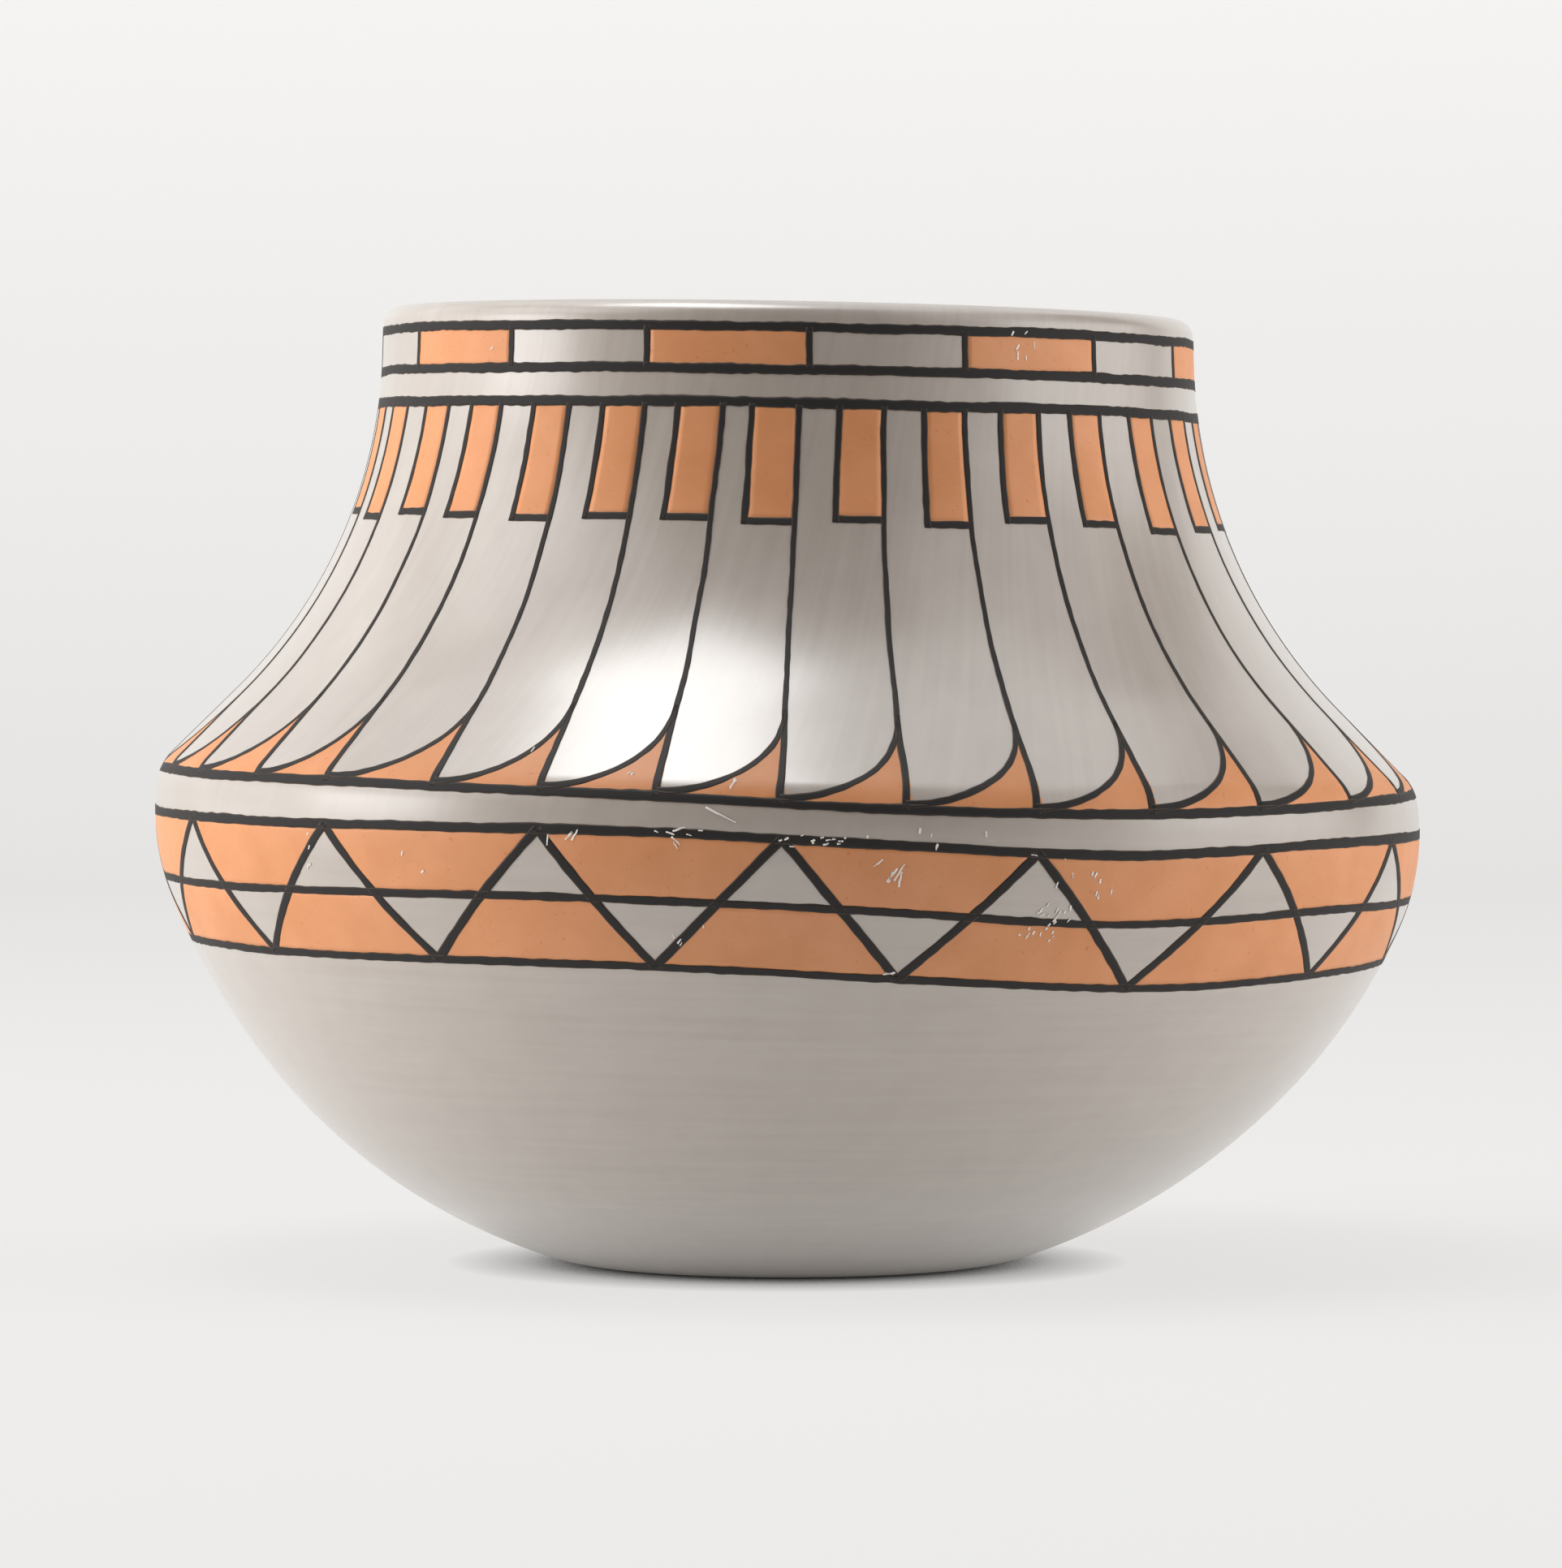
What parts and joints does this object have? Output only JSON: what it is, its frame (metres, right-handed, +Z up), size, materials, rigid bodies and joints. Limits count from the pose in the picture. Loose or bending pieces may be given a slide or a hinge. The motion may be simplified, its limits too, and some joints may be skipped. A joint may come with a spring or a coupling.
{
  "type": "pueblo pottery jar",
  "caption": "Coil-built round-bottomed clay jar with a sharp keel, sloping shoulder and upright neck, painted with traditional feather, block and zigzag bands.",
  "frame": {"origin": "centre of the flat foot, on the surface that the jar stands on", "axes": "+Z up along the jar's axis, the pictured side faces -Y"},
  "size_m": [0.2168, 0.2168, 0.162],
  "materials": {
    "slipped_clay": "coil-built clay under a stone-polished warm grey slip, bare inside",
    "orange_slip": "matte orange clay slip, brushed on",
    "black_paint": "matte brown-black mineral paint, brushed lines"
  },
  "bodies": {
    "root": {"base_dish": "slipped_clay", "lower_coil_1": "slipped_clay", "lower_coil_2": "slipped_clay", "lower_coil_3": "slipped_clay", "girdle_coil": "slipped_clay", "shoulder_coil_1": "slipped_clay", "shoulder_coil_2": "slipped_clay", "neck_coil_1": "slipped_clay", "neck_coil_2": "slipped_clay", "rim_coil": "slipped_clay", "orange_rim_blocks": "orange_slip", "orange_feather_bars": "orange_slip", "orange_feather_tips": "orange_slip", "orange_girdle_panels": "orange_slip", "black_framing_lines": "black_paint", "black_rim_dividers": "black_paint", "black_feather_shafts": "black_paint", "black_bar_outlines": "black_paint", "black_tip_curves": "black_paint", "black_zigzag": "black_paint"}
  },
  "joints": []
}
